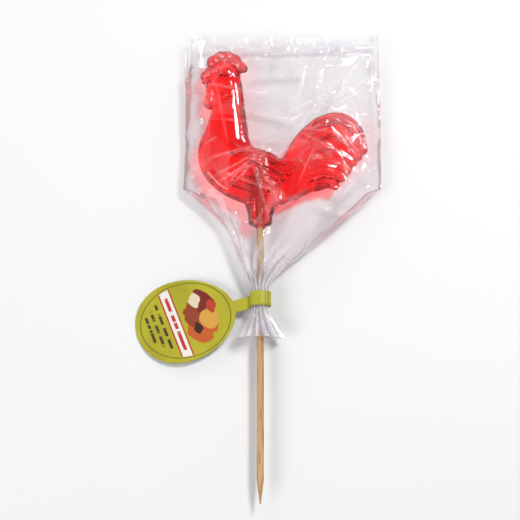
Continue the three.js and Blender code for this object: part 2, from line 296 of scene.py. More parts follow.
def bezier(points):
    """A cubic curve through four points in the plane, sampled evenly."""
    p = np.array(points, float)
    t = np.linspace(0, 1, 200)[:, None]
    near = (1 - t) ** 3 * p[0] + 3 * (1 - t) ** 2 * t * p[1]
    return near + 3 * (1 - t) * t * t * p[2] + t ** 3 * p[3]


def swept_form(spine, level, half_at, steps=40, sides=20):
    """A form with an oval section along a flat spine, round at both ends."""
    run = np.concatenate([[0], np.cumsum(np.linalg.norm(np.diff(spine, axis=0), axis=1))])
    length = run[-1]
    slope = np.gradient(spine, axis=0)
    slope /= np.linalg.norm(slope, axis=1)[:, None]
    angle = circle(sides)
    rings = []
    for step in np.linspace(0.02, math.pi - 0.02, steps):
        share = (1 - math.cos(step)) / 2
        centre = [np.interp(share * length, run, spine[:, axis]) for axis in (0, 1)]
        along = [np.interp(share * length, run, slope[:, axis]) for axis in (0, 1)]
        width, thickness = half_at(share)
        to_end = length * min(share, 1 - share)
        round_end = math.sqrt(1 - max(0.0, 1 - to_end / width) ** 2)
        sideways = np.cos(angle) * width * round_end
        upwards = np.sin(angle) * thickness * round_end
        rings.append(np.stack([
            centre[0] - along[1] * sideways, centre[1] + along[0] * sideways, level + upwards,
        ], 1))
    points, faces = closed_rings(rings)
    return points, [face[::-1] for face in faces]


def tapered_form(start, end, first, last, level=0, sides=20):
    """A straight form with an oval section, its halves given at its start and its end."""
    first, last = np.array(first), np.array(last)
    spine = np.linspace(start, end, 60)
    return swept_form(spine, level, lambda share: mix(first, last, share), sides=sides)


def closed_curve(points):
    """A smooth closed curve through points, its stretches timed by the root of their length."""
    p = np.array(points, float)
    curve = []
    for i in range(len(p)):
        a, b, c, d = p[i - 1], p[i], p[(i + 1) % len(p)], p[(i + 2) % len(p)]
        before, here, after = (math.sqrt(np.linalg.norm(v)) for v in (b - a, c - b, d - c))
        leave = ((b - a) / before - (c - a) / (before + here) + (c - b) / here) * here
        arrive = ((c - b) / here - (d - b) / (here + after) + (d - c) / after) * here
        for t in np.linspace(0, 1, CURVE_STEPS, endpoint=False):
            curve.append(
                (2 * t ** 3 - 3 * t * t + 1) * b + (t ** 3 - 2 * t * t + t) * leave
                + (3 * t * t - 2 * t ** 3) * c + (t ** 3 - t * t) * arrive
            )
    return np.array(curve)


def rounded_plate(points, half, rounding):
    """A plate inside a smooth closed outline, with rounded edges."""
    outline = closed_curve(points)
    ahead = np.roll(outline, -1, 0) - np.roll(outline, 1, 0)
    ahead /= np.linalg.norm(ahead, axis=1)[:, None]
    after = np.roll(outline, -1, 0)
    area = np.sum(outline[:, 0] * after[:, 1] - after[:, 0] * outline[:, 1])
    inwards = np.stack([-ahead[:, 1], ahead[:, 0]], 1) * math.copysign(1, area)
    turns = np.linspace(0, math.pi / 2, ROUND_STEPS)
    rings = []
    for side in (-1, 1):
        for turn in turns if side < 0 else turns[::-1]:
            ring = outline + inwards * rounding * (1 - math.sin(turn))
            level = side * (half - rounding + rounding * math.cos(turn))
            rings.append(np.column_stack([ring, np.full(len(ring), level)]))
    points, faces = closed_rings(rings)
    return (points, faces) if area > 0 else (points, [face[::-1] for face in faces])


def lathe(profile, sides, squash=1.0):
    """A closed form turned round the skewer's axis, from radii and places along it."""
    angle = circle(sides)
    return closed_rings([
        np.stack([radius * np.cos(angle), np.full(sides, y), -radius * squash * np.sin(angle)], 1)
        for radius, y in profile
    ])


def merged(forms):
    points, faces, start = [], [], 0
    for form_points, form_faces in forms:
        points.append(form_points)
        faces.extend(tuple(start + i for i in face) for face in form_faces)
        start += len(form_points)
    return np.concatenate(points), faces


# Candy

def body_forms():
    """The body's slab, its crown, the saddle, the wing's plate, the neck and the cheek."""
    return [
        rounded_plate(BODY_OUTLINE, BODY_HALF, BODY_ROUND),
        ellipsoid((-5, 14.5, 0), (16, 11.5, CROWN_HALF)),
        ellipsoid((22, 15.5, 0), (15, 8.5, BODY_HALF - 0.1), 8),
        rounded_plate(WING_OUTLINE, WING_PLATE_HALF, 0.9),
        tapered_form((-11, 22), (-14.4, 60), (7.4, CROWN_HALF), (5.4, CROWN_HALF - 0.3), sides=28),
        ellipsoid((-15, 58.2, 0), (6, 5.4, CROWN_HALF - 0.1)),
    ]


def stub_form():
    """The stub that the skewer enters, with its rim, and its root inside the body."""
    profile = [
        (0.6, -STUB_LENGTH - 1.4), (STICK_RADIUS + 0.25, -STUB_LENGTH - 1.3),
        (STICK_RADIUS + 0.7, -STUB_LENGTH - 0.5), (STUB_RADIUS - 1.3, -STUB_LENGTH),
        (STUB_RADIUS - 0.5, 0.3 - STUB_LENGTH), (STUB_RADIUS, 1.2 - STUB_LENGTH),
        (STUB_RADIUS + 0.1, -5), (STUB_RADIUS + 0.4, -3), (STUB_RADIUS + 1, -0.5),
        (STUB_RADIUS + 1.6, 2), (0.6, 6),
    ]
    return lathe(profile, 48, BODY_HALF / STUB_RADIUS)


def head_forms():
    """The beak's two halves, the comb's lobes on their base, and the wattle."""
    forms = [
        tapered_form((-17.5, 60.5), (-25.4, 56.8), (4.4, 3.7), (1.5, 1.8)),
        tapered_form((-17.5, 56.4), (-24.7, 55), (2.6, 3.2), (1.1, 1.5)),
        ellipsoid((*COMB_CENTRE, 0), (COMB_ARC + 1, COMB_ARC + 1, COMB_HALF - 0.5)),
    ]
    for degrees in COMB_ANGLES:
        angle = math.radians(degrees)
        x = COMB_CENTRE[0] + COMB_ARC * math.cos(angle)
        y = COMB_CENTRE[1] + COMB_ARC * math.sin(angle)
        forms.append(ellipsoid((x, y, 0), (COMB_LOBE, COMB_LOBE, COMB_HALF)))
    forms.append(ellipsoid((-8.6, 62.2, 0), (3.6, 2.3, COMB_HALF - 0.3), -38))
    forms.append(tapered_form((-20.6, 56.2), (-21.5, 43), (1.9, 3), (3, 3.6)))
    return forms


def feather_forms(high, low, count, level, half_at, steps, sides):
    """Feathers from the high one to the low one. half_at gives a section's halves, from the
    feather's own half width and how far along it the section is.
    """
    high_spine, low_spine = np.array(high[0], float), np.array(low[0], float)
    forms = []
    for place in np.linspace(0, 1, count):
        spine, half = bezier(mix(high_spine, low_spine, place)), mix(high[1], low[1], place)
        forms.append(swept_form(spine, level, partial(half_at, half), steps, sides))
    return forms


def tail_forms():
    def half_at(half, share):
        return half * (1 - 0.35 * share), TAIL_HALF * (1 - 0.2 * share)

    web = rounded_plate(TAIL_OUTLINE, TAIL_WEB_HALF, 1.2)
    return [web, *feather_forms(TAIL_HIGH, TAIL_LOW, TAIL_FEATHERS, 0, half_at, 60, 20)]


def relief_forms(face):
    """Wing feathers on their shoulder and short neck marks on one face."""
    def half_at(half, share):
        return half * (1 - 0.25 * share), WING_HALF * (1 - 0.3 * share ** 2)

    shoulder = ellipsoid((-9.5, 17, face * 4), (5.4, 6.6, CANDY_HALF - 4))
    level = face * WING_LEVEL
    feathers = feather_forms(WING_HIGH, WING_LOW, WING_FEATHERS, level, half_at, 40, 16)
    marks = [
        tapered_form((-15.6, y - 0.3), (-11.6, y + 0.2), (0.8, 0.8), (0.8, 0.8), face * 4.3)
        for y in NECK_MARKS
    ]
    return [shoulder, *feathers, *marks]


def tail_lines(x, y):
    """Depth of the fine lines down the middle of the tail's feathers and between them."""
    high, low = np.array(TAIL_HIGH[0], float), np.array(TAIL_LOW[0], float)
    shares = np.linspace(-0.2, 1.2, 281)
    spines = np.array([bezier(mix(high, low, share)) for share in shares])
    steps = spines.shape[1]
    tree = KDTree(len(shares) * steps)
    for index, (px, py) in enumerate(spines.reshape(-1, 2)):
        tree.insert((px, py, 0), index)
    tree.balance()
    found = np.array([tree.find((px, py, 0))[1] for px, py in zip(x, y)])
    spine, step = np.divmod(found, steps)
    feather = shares[spine] * (TAIL_FEATHERS - 1)
    along = np.gradient(spines, axis=1)[spine, step]
    along /= np.linalg.norm(along, axis=1)[:, None]
    apart = bezier(low - high)[step] / (TAIL_FEATHERS - 1)
    spacing = np.abs(apart[:, 0] * along[:, 1] - apart[:, 1] * along[:, 0])
    nearest = np.round(feather * 2) / 2
    aside = np.clip(np.abs(feather - nearest) * spacing / TAIL_LINE_HALF, 0, 1)
    depth = np.where(nearest % 1 == 0, *TAIL_LINE_DEPTHS)
    share = step / (steps - 1)
    shown = smooth(0.22, 0.42, share) * (1 - smooth(0.9, 0.99, share)) * smooth(1.2, 2.4, spacing)
    return depth * np.cos(aside * math.pi / 2) ** 2 * shown


def candy_detail(piece):
    """Moves points for the eyes, the tail's lines, the mould's parting line and unevenness."""
    mesh = piece.data
    places = values_of(mesh.vertices, "co", 3)
    normals = values_of(mesh.vertex_normals, "vector", 3)
    drawn = drawn_places(mesh)
    broad = np.array([noise.noise(Vector(p) * BROAD_WAVE[0]) for p in drawn])
    fine = np.array([noise.noise(Vector(p) * FINE_WAVE[0] + Vector((7, 3, 1))) for p in drawn])
    parting = np.clip(1 - (drawn[:, 2] / PARTING_HALF) ** 2, 0, 1)
    parting = parting * (drawn[:, 1] > -STUB_LENGTH + 0.5)
    from_eye = np.hypot(drawn[:, 0] - EYE[0], drawn[:, 1] - EYE[1])
    eye = tent(from_eye / EYE_RADIUS) - 0.35 * tent((from_eye - EYE_RADIUS) / EYE_RIM)
    eye = eye * (np.abs(drawn[:, 2]) > 3)
    push = BROAD_WAVE[1] * broad + FINE_WAVE[1] * fine + PARTING_HEIGHT * parting - EYE_DEPTH * eye
    on_tail = (drawn[:, 0] > 14) & (drawn[:, 1] > 4) & (parting == 0)
    push[on_tail] -= tail_lines(*drawn[on_tail, :2].T)
    places += normals * push[:, None] * MM
    mesh.vertices.foreach_set("co", places.ravel())
    mesh.update()


def make_candy(material):
    points, faces = merged([
        *body_forms(), stub_form(), *head_forms(), *tail_forms(), *relief_forms(-1), *relief_forms(1),
    ])
    piece = new_piece("rooster_candy", points, faces, [material])
    remesh = piece.modifiers.new("remesh", "REMESH")
    remesh.mode = "VOXEL"
    remesh.voxel_size = VOXEL * MM
    soften = piece.modifiers.new("soften", "SMOOTH")
    soften.factor, soften.iterations = SOFTENING
    apply_modifiers(piece)
    candy_detail(piece)
    return piece


# Film bag

BAG_SEALED = BAG_TOP - SEAL_WIDTH
BAG_LEFT, BAG_RIGHT = BAG_CENTRE - BAG_HALF_WIDTH, BAG_CENTRE + BAG_HALF_WIDTH
FACE_GRID = (326, 304)
BACK_GRID = (240, 210)

# Maps of heights over the table.
MAP_STEP = 0.5
MAP_X = np.arange(-36, 57, MAP_STEP)
MAP_Y = np.arange(-44, 80, MAP_STEP)
HULL_STRIDE = 3
NOTHING_OVER, NOTHING_UNDER = -1.0, 99.0

# The least gaps over the candy, under it, and between the film's sides and over the table.
OVER_CANDY = 0.3
UNDER_CANDY = 0.12
FILM_GAP = 0.04

# Pleats round the gather, and those that fan out from it.
PLEATS = 15
PLEAT_SEED, MILK_SEED, LAYER_SEED = 41, 43, 50
NECK_PLEAT = 0.11
SKIRT_PLEAT = 0.2
FAN_ORIGIN = -41.0
FAN_PLEATS = 40
FACE_FAN_SEED, BACK_FAN_SEED = 21, 22

# Facets: the seed of their random draws, and their spacing.
BROAD_FACETS = (3, 13.0)
FINE_FACETS = (354, 5.0)
BACK_FACETS = (31, 7.0)

# Heights of facets, and how far the film sags between creases and lies up over the table.
BROAD_HEIGHT = 0.85
FINE_HEIGHT = 0.22
BACK_HEIGHT = 0.45
FACE_SAG = 0.3
BACK_REST = 0.06
TAUT_SHARE = 0.7

# How far seams wander: the side seams inwards, all of them up and down, and the cut top edge.
SIDE_INSET = (0.6, 0.4)
SEAM_WAVE = 0.6
TOP_WAVE = 0.9
TOP_CUT = (0.5, 0.35)

# Haze, from 0 to 1: in the gather, the seal, along creases and pleats, and on facets.
MILK = 0.75
SEAL_HAZE = 0.06
# Crease haze is partly fold whitening and partly painted highlight.
CREASE_WHITENING_AND_HIGHLIGHT = 0.2
FAN_HAZE = 0.25
# Veil and pale haze are painted reflection, a different one on each facet.
PAINTED_VEIL_REFLECTION = 0.025
PAINTED_PALE_REFLECTION = 0.06
LAYER_HAZE = 0.45

# Layers inside the gather: the share of its section, and the depth of their pleats.
LAYER_SHARES = (0.8, 0.64)
LAYER_PLEATS = (0.14, 0.3)

# Where the candy's raised parts hold the film up, and the middle that creases point away from.
HELD = [
    (-15, 68), (-9, 63), (-26, 56), (-22, 44), (-26, 24), (43, 30), (36, 12), (30, 40), (17, 36),
    (0, 22),
]
CANDY_CENTRE = (6, 30)

# Long creases from the raised parts, each with its ends, height and half width.
STRONG_CREASES = [
    ((-9, 66), (34, 76), 1.2, 2.4), ((-8, 62), (51, 66), 1.4, 3.0), ((-20, 66), (-32, 76), 1.1, 2.2),
    ((-26, 57), (-33, 44), 0.8, 1.8), ((43, 34), (52, 60), 1.1, 2.4), ((44, 24), (52, 8), 1.1, 2.4),
    ((30, 40), (50, 76), 1.3, 2.8), ((-7, 50), (26, 41), 1.3, 3.0), ((-26, 22), (-33, 6), 0.9, 2.0),
    ((-23, 12), (-30, 2), 0.8, 1.8), ((26, 8), (44, -2), 1.0, 2.4), ((-6, 36), (20, 36), 0.8, 2.4),
]


def bag_section(y):
    """The bag's centre, half width, seam height, rise, fall and squareness at a place along Y."""
    if y < NECK_END:
        flare = ((NECK_END - y) / (NECK_END - SKIRT_END)) ** 1.2
        half_height = mix(NECK_RADIUS, SKIRT_HALF_HEIGHT, flare)
        return 0.0, mix(NECK_RADIUS, SKIRT_HALF_WIDTH, flare), -TABLE, half_height, half_height, 2.0
    opened = min(max((y - NECK_TOP) / (BAG_SHOULDER - NECK_TOP), 0), 1)
    fill = float(smooth(0, 0.8, opened))
    towards_top = min(max(0.0, (y - BAG_CLOSES_FROM) / (BAG_SEALED - BAG_CLOSES_FROM)), 1.0)
    close = (1 - towards_top ** 7) ** 0.5
    return (
        BAG_CENTRE * fill,
        mix(NECK_RADIUS, BAG_HALF_WIDTH, opened ** 1.3),
        mix(-TABLE, BAG_SEAM_HEIGHT, fill),
        mix(NECK_RADIUS, BAG_HEIGHT - BAG_SEAM_HEIGHT, fill) * close,
        mix(NECK_RADIUS, BAG_SEAM_HEIGHT + BAG_SAG, fill) * close,
        mix(2.0, 4.0, fill),
    )


def bag_sections(rows):
    """The values of bag_section, each as a column with a row for each place."""
    return np.array([bag_section(y) for y in rows]).T[:, :, None]


def sampled(height_map, x, y):
    """Values of a map at places, evenly between its points."""
    column = np.clip((x - MAP_X[0]) / MAP_STEP, 0, len(MAP_X) - 1.001)
    row = np.clip((y - MAP_Y[0]) / MAP_STEP, 0, len(MAP_Y) - 1.001)
    i, j = row.astype(int), column.astype(int)
    down, right = row - i, column - j
    return (
        height_map[i, j] * (1 - down) * (1 - right) + height_map[i, j + 1] * (1 - down) * right
        + height_map[i + 1, j] * down * (1 - right) + height_map[i + 1, j + 1] * down * right
    )


def map_of(tree, towards, missing, level=0.0):
    """Heights over a level at which rays along Z meet a surface, at each place of the map."""
    heights = np.full((len(MAP_Y), len(MAP_X)), missing, float)
    way = Vector((0, 0, -towards))
    for row, y in enumerate(MAP_Y):
        for column, x in enumerate(MAP_X):
            place = tree.ray_cast(Vector((x, y, towards * 100)), way)[0]
            if place is not None:
                heights[row, column] = place.z - level
    return heights


def widened(height_map, pick, steps):
    """The map with each value spread to its neighbours, by largest or smallest."""
    for _ in range(steps):
        padded = np.pad(height_map, 1, mode="edge")
        rows, columns = height_map.shape
        shifts = [padded[i:i + rows, j:j + columns] for i in (0, 1, 2) for j in (0, 1, 2)]
        height_map = pick(np.stack(shifts), axis=0)
    return height_map


def surface_tree(points, faces):
    return BVHTree.FromPolygons([Vector(p) for p in points], faces)


def taut_map(candy_top):
    """Film drawn tight over the candy, its side seams and the neck: their convex cover."""
    cover = bmesh.new()
    for row in range(0, len(MAP_Y), HULL_STRIDE):
        for column in range(0, len(MAP_X), HULL_STRIDE):
            if candy_top[row, column] > 0:
                height = candy_top[row, column] + OVER_CANDY
                cover.verts.new((MAP_X[column], MAP_Y[row], height))
    for y in np.linspace(NECK_TOP - 4, BAG_SEALED, 30):
        centre, half_width, seam, rise = bag_section(y)[:4]
        for side in (-1, 1):
            cover.verts.new((centre + side * half_width, y, seam))
        if y < NECK_TOP:
            cover.verts.new((centre, y, seam + rise))
    bmesh.ops.convex_hull(cover, input=list(cover.verts))
    tree = BVHTree.FromBMesh(cover)
    cover.free()
    return map_of(tree, 1, BAG_SEAM_HEIGHT)


def wavy(values, seed):
    """An uneven wave, from -1 to 1, with a period of about 2 pi."""
    slow = 0.5 * np.sin(values + seed) + 0.3 * np.sin(2.3 * values + 2.1 * seed)
    return slow + 0.2 * np.sin(4.7 * values + 3.3 * seed)


def facets(seed, spacing, x, y):
    """Flat facets between uneven corners: heights from -1 to 1, and each facet's own 0 to 1."""
    draw = random.Random(seed)
    corners = [
        Vector((column + draw.uniform(-0.5, 0.5) * spacing, row + draw.uniform(-0.5, 0.5) * spacing))
        for row in np.arange(MAP_Y[0] - 20, MAP_Y[-1] + 20, spacing)
        for column in np.arange(MAP_X[0] - 20, MAP_X[-1] + 20, spacing)
    ]
    flat, _, faces = geometry.delaunay_2d_cdt(corners, [], [], 0, 1e-5)[:3]
    tree = surface_tree([(p.x, p.y, draw.uniform(-1, 1)) for p in flat], faces)
    values = [draw.random() for _ in faces]
    down = Vector((0, 0, -1))
    places = zip(x.ravel().tolist(), y.ravel().tolist())
    found = [tree.ray_cast(Vector((a, b, 10)), down) for a, b in places]
    heights = np.array([hit[0].z for hit in found]).reshape(x.shape)
    shares = np.array([values[hit[2]] for hit in found]).reshape(x.shape)
    return heights, shares


def ridges(x, y, creases):
    """Heights of straight creases, and their bare edges from 0 to 1."""
    total = np.zeros(x.shape)
    bare = np.zeros(x.shape)
    for start, end, height, width in creases:
        length = math.dist(start, end)
        way = (end[0] - start[0]) / length, (end[1] - start[1]) / length
        along = ((x - start[0]) * way[0] + (y - start[1]) * way[1]) / length
        aside = (y - start[1]) * way[0] - (x - start[0]) * way[1]
        fade = smooth(0, 0.3, along) * (1 - smooth(0.45, 1, along))
        total = np.maximum(total, height * fade * tent(aside / width))
        bare = np.maximum(bare, fade * tent(aside / 0.5))
    return total, bare


def from_gather(x, y):
    """How far places lie from the gather, and at which angle to the skewer."""
    ahead = y - FAN_ORIGIN
    return np.hypot(x, ahead), np.arctan2(x, np.maximum(ahead, 0.1))


def fan(seed, x, y):
    """Sharp pleats that fan out from the gather and end one by one, and their bare edges."""
    draw = random.Random(seed)
    reach, angle = from_gather(x, y)
    total = np.zeros(x.shape)
    bare = np.zeros(x.shape)
    for i in range(FAN_PLEATS):
        aim = mix(-0.66, 0.84, (i + draw.uniform(-0.4, 0.4)) / (FAN_PLEATS - 1))
        width = draw.uniform(0.014, 0.03) * np.minimum(reach, 60) + 0.12
        end = draw.choice((32, 38, 46, 58, 90)) * draw.uniform(0.85, 1.1)
        slope = draw.uniform(0.7, 1.5)
        fade = smooth(6, 14, reach) * (1 - smooth(end * 0.35, end, reach))
        aside = (angle - aim) * reach
        total = np.maximum(total, slope * width * fade * tent(aside / width))
        bare = np.maximum(bare, fade * tent(aside / np.minimum(0.5, width)))
    return total, bare


def crease(draw, start, turn, lengths, heights, widths, back=4):
    """A crease from a little behind a place, its sizes drawn between their bounds."""
    way = math.cos(turn), math.sin(turn)
    start = start[0] - back * way[0], start[1] - back * way[1]
    length = draw.uniform(*lengths)
    end = start[0] + length * way[0], start[1] + length * way[1]
    return start, end, draw.uniform(*heights), draw.uniform(*widths)


def pulled_crease(draw, number):
    """A long thin crease from where the candy holds the film up, mostly towards the bag's edges."""
    held = draw.choice(HELD)
    outwards = math.atan2(held[1] - CANDY_CENTRE[1], held[0] - CANDY_CENTRE[0])
    turn = draw.uniform(0, 2 * math.pi) if number % 4 == 0 else outwards + draw.uniform(-1.1, 1.1)
    start = held[0] + draw.gauss(0, 3), held[1] + draw.gauss(0, 3)
    return crease(draw, start, turn, (10, 46), (0.2, 0.65), (0.7, 1.4))


def seam_pucker(draw, number):
    """A short crease that runs in from the top seam or a side seam."""
    if number % 2:
        start, inwards = (draw.uniform(BAG_LEFT, BAG_RIGHT), BAG_SEALED), -math.pi / 2
    else:
        side, inwards = (BAG_LEFT, 0) if draw.random() < 0.5 else (BAG_RIGHT, math.pi)
        start = side, draw.uniform(0, BAG_SEALED)
    turn = inwards + draw.gauss(0, 0.45)
    return crease(draw, start, turn, (6, 20), (0.3, 0.8), (0.8, 1.8))


def loose_crease(draw, _):
    """A crease anywhere on the bag."""
    start = draw.uniform(-30, 50), draw.uniform(-10, 74)
    turn = draw.uniform(0, 2 * math.pi)
    return crease(draw, start, turn, (8, 36), (0.2, 0.6), (0.8, 1.6), back=0)


def crimp(draw, _):
    """A fine short crease across the top seal."""
    start = draw.uniform(BAG_LEFT, BAG_RIGHT), BAG_TOP
    turn = draw.gauss(-math.pi / 2, 0.12)
    return crease(draw, start, turn, (5, 12), (0.1, 0.3), (0.4, 0.8), back=2)


# Kinds of creases, each with the seed of its random draws and its count.
SOFT_CREASES = ((pulled_crease, 8, 80), (seam_pucker, 9, 70), (loose_crease, 10, 30))
CRIMPS = ((crimp, 12, 90),)


def drawn_creases(kinds):
    creases = []
    for kind, seed, count in kinds:
        draw = random.Random(seed)
        creases += [kind(draw, number) for number in range(count)]
    return creases


def pleat_wave(angle, y, seed):
    """Uneven sharp pleats round the gather, from about -1 to 1."""
    draw = random.Random(seed)
    strengths = np.array([draw.uniform(0.55, 1.25) for _ in range(PLEATS)])
    drift = 0.5 * np.sin(0.11 * y + 2 * np.sin(angle))
    turns = (angle / (2 * math.pi) * PLEATS + drift) % PLEATS
    index = np.floor(turns).astype(int) % PLEATS
    return strengths[index] * (1 - 2 * np.abs(2 * (turns % 1) - 1))


def film_rows(count):
    """Places of the grid's rows along Y, closer together in the seal and in the gather."""
    seal_rows, gather_rows = count // 26, count // 6
    return np.concatenate([
        np.linspace(BAG_TOP, BAG_SEALED, seal_rows, endpoint=False),
        np.linspace(BAG_SEALED, NECK_TOP, count - seal_rows - gather_rows, endpoint=False),
        np.linspace(NECK_TOP, SKIRT_END, gather_rows),
    ])


def film_grid(face, rows, columns):
    """The bag's upper side (face) or lower side, as a grid from its left seam to its right one."""
    y = film_rows(rows)[:, None]
    centre, half_width, seam, rise, fall, square = bag_sections(y[:, 0])
    angle = np.linspace(0, math.pi, columns) + (0 if face else math.pi)
    even = 1 - 2 * angle / math.pi if face else 2 * angle / math.pi - 3
    in_bag = smooth(-30, 0, y)
    side = mix(np.cos(angle), even, 0.85 * in_bag)
    gathered = 1 - smooth(NECK_TOP, BAG_SHOULDER, y)
    deep = mix(NECK_PLEAT, SKIRT_PLEAT, smooth(NECK_END, SKIRT_END, y))
    pleat = 1 + deep * gathered * pleat_wave(angle, y, PLEAT_SEED)
    inset = SIDE_INSET[0] + SIDE_INSET[1] * np.where(side > 0, wavy(y * 0.1, 1), wavy(y * 0.11, 4))
    x = centre + (half_width * pleat - inset * smooth(BAG_SHOULDER - 30, BAG_SHOULDER, y)) * side
    y = np.broadcast_to(y, x.shape)

    sealed = smooth(BAG_SEALED - 6, BAG_SEALED, y)
    edge = 1 - np.abs(side) ** 9
    bulge = (1 - np.abs(side) ** square) ** mix(0.5, 0.9, in_bag)
    lift = CORNER_LIFT * np.abs(side) ** 6 * np.clip(y / BAG_TOP, 0, None) ** 3
    wave = SEAM_WAVE * wavy(y * 0.13, 7) * in_bag
    seam = seam + lift + wave + TOP_WAVE * wavy(x * 0.11, 2) * smooth(40, BAG_TOP, y)
    pleats, pleat_edges = fan(FACE_FAN_SEED if face else BACK_FAN_SEED, x, y)
    spread = smooth(NECK_TOP, NECK_TOP + 12, y) * (1 - sealed) * edge
    milky = 1 - smooth(NECK_TOP, 2 - STUB_LENGTH, y)
    haze = MILK * milky * (0.55 + 0.45 * pleat_wave(angle, y, MILK_SEED)) + SEAL_HAZE * sealed
    return SimpleNamespace(
        x=x, y=y, side=side, in_bag=in_bag, sealed=sealed, edge=edge, seam=seam,
        risen=rise * pleat * bulge, fallen=fall * pleat * bulge, fan=pleats * spread,
        fan_haze=FAN_HAZE * pleat_edges * spread * milky, haze=haze,
    )


def face_film(grid, top):
    """Heights and haze of the film over the candy, creased between the candy's raised parts, with
    painted reflections in the haze.
    """
    x, y = grid.x, grid.y
    broad, veil = facets(*BROAD_FACETS, x, y)
    reach, angle = from_gather(x, y)
    fine, pale = facets(*FINE_FACETS, angle * 30 + 10, reach * 0.4 - 40)
    creases, crease_edges = ridges(x, y, drawn_creases(SOFT_CREASES))
    strong = ridges(x, y, STRONG_CREASES)[0]
    crimped = ridges(x, y, drawn_creases(CRIMPS))[0]
    loose = grid.in_bag * (1 - grid.sealed) * grid.edge
    taut = grid.seam + (sampled(taut_map(top), x, y) - grid.seam) * grid.edge
    cover = mix(grid.seam + grid.risen, taut, TAUT_SHARE * grid.in_bag * (1 - grid.sealed))
    ripple = BROAD_HEIGHT * broad + FINE_HEIGHT * fine + creases + strong - FACE_SAG
    height = cover + ripple * loose + grid.fan + crimped * grid.in_bag
    touched = sampled(top, x, y)
    height = np.where(touched > 0, np.maximum(height, touched + OVER_CANDY), height)
    # Painted reflection: each facet gets its own pale veil, as if it mirrored a different part of the
    # room.
    facing = PAINTED_VEIL_REFLECTION * veil ** 2 + PAINTED_PALE_REFLECTION * smooth(0.72, 0.75, pale)
    # Pale lines on crease crests: partly fold whitening, partly painted highlight.
    haze = grid.haze + (CREASE_WHITENING_AND_HIGHLIGHT * crease_edges + facing) * loose + grid.fan_haze
    return np.maximum(height, grid.seam + FILM_GAP), haze


def back_film(grid, bottom):
    """Heights and haze of the film under the candy, which settles on the table."""
    uneven = BACK_HEIGHT * (1 + facets(*BACK_FACETS, grid.x, grid.y)[0])
    settled = BACK_REST + uneven * grid.in_bag
    shape = mix(grid.seam - grid.fallen, grid.seam * np.abs(grid.side) ** 9, grid.in_bag)
    height = np.maximum(shape, settled) - 0.8 * grid.fan
    height = np.minimum(height, sampled(bottom, grid.x, grid.y) - UNDER_CANDY)
    return np.minimum(np.maximum(height, FILM_GAP), grid.seam - FILM_GAP), grid.haze


def film_piece(name, points, haze, rows, columns, wrap, material):
    piece = new_piece(name, points.reshape(-1, 3), grid_faces(rows, columns, wrap=wrap), [material])
    attribute = piece.data.attributes.new("haze", "FLOAT", "POINT")
    attribute.data.foreach_set("value", haze.ravel())
    return piece


def make_film(candy, material):
    """The film over the candy and under it, its top edge cut a little unevenly."""
    candy_faces = [tuple(face.vertices) for face in candy.data.polygons]
    tree = surface_tree(drawn_places(candy.data), candy_faces)
    top = widened(map_of(tree, 1, NOTHING_OVER, TABLE), np.max, 2)
    bottom = widened(map_of(tree, -1, NOTHING_UNDER, TABLE), np.min, 2)
    pieces = []
    for name, face, size in (("film_face", True, FACE_GRID), ("film_back", False, BACK_GRID)):
        grid = film_grid(face, *size)
        height, haze = face_film(grid, top) if face else back_film(grid, bottom)
        cut = TOP_CUT[0] + TOP_CUT[1] * wavy(grid.x * 0.4, 5)
        y = grid.y - cut * smooth(BAG_TOP - 12, BAG_TOP, grid.y)
        points = np.stack([grid.x, y, height + TABLE], -1)
        pieces.append(film_piece(name, points, np.clip(haze, 0, 1), *size, False, material))
    return pieces


def make_gather_layers(material):
    """Folds of film that lie inside the gather, between its outer film and the skewer."""
    angle = circle(120)
    layers = []
    for number, share in enumerate(LAYER_SHARES):
        y = np.linspace(-25 - 4 * number, SKIRT_END + 1.5 + number, 60)[:, None]
        centre, half_width, seam, rise, fall, _ = bag_sections(y[:, 0])
        deep = mix(*LAYER_PLEATS, smooth(NECK_END, SKIRT_END, y))
        pleat = 1 + deep * pleat_wave(angle, y, LAYER_SEED + number)
        sine = np.sin(angle)
        height = seam + np.where(sine > 0, rise, fall) * share * pleat * sine
        x = centre + half_width * share * pleat * np.cos(angle)
        slant = 3 * np.cos(angle + number) * smooth(-34, -26, y)
        points = np.stack([x, y + slant, height + TABLE], -1)
        haze = np.broadcast_to(LAYER_HAZE * (1 - smooth(-36, -25, y)), x.shape)
        name = f"gathered_film_{number + 1}"
        layers.append(film_piece(name, points, haze, *x.shape, True, material))
    return layers


# Skewer

def make_skewer(material):
    """The skewer, slightly uneven all round and pointed at its free end."""
    end = STICK_TOP - STICK_LENGTH
    places = np.concatenate([
        np.linspace(end, end + STICK_POINT, 14, endpoint=False),
        np.linspace(end + STICK_POINT, STICK_TOP, 90),
    ])
    ring = [(2 * math.cos(a), 2 * math.sin(a)) for a in circle(STICK_SIDES)]
    profile = []
    for y in places:
        radius = np.interp(y, [end, end + STICK_POINT], [STICK_TIP_RADIUS, STICK_RADIUS])
        rough = np.array([noise.noise(Vector((x, y * 0.06, z))) for x, z in ring])
        profile.append((radius * (1 + STICK_ROUGHNESS * rough), y))
    return new_piece("wooden_skewer", *lathe(profile, STICK_SIDES), [material])


# Label

def on_sheet(along, across, above):
    """Places on the label's sheet, from the neck's axis outwards, across it and up from its middle."""
    away = along / LABEL_END
    slope = LABEL_REST + (-TABLE - LABEL_REST) * np.clip(1 - away, 0, 1) ** 1.6
    curl = LABEL_CURL * away * (2 * across / LABEL_WIDTH) ** 2
    ripple = 0.25 * np.sin(0.21 * along + 0.8) * smooth(10, 25, along) * (across / LABEL_WIDTH)
    return np.stack([
        -math.sin(LABEL_ANGLE) * along + math.cos(LABEL_ANGLE) * across,
        LOOP_MIDDLE - math.cos(LABEL_ANGLE) * along - math.sin(LABEL_ANGLE) * across,
        slope + curl + ripple + above + TABLE,
    ], -1)


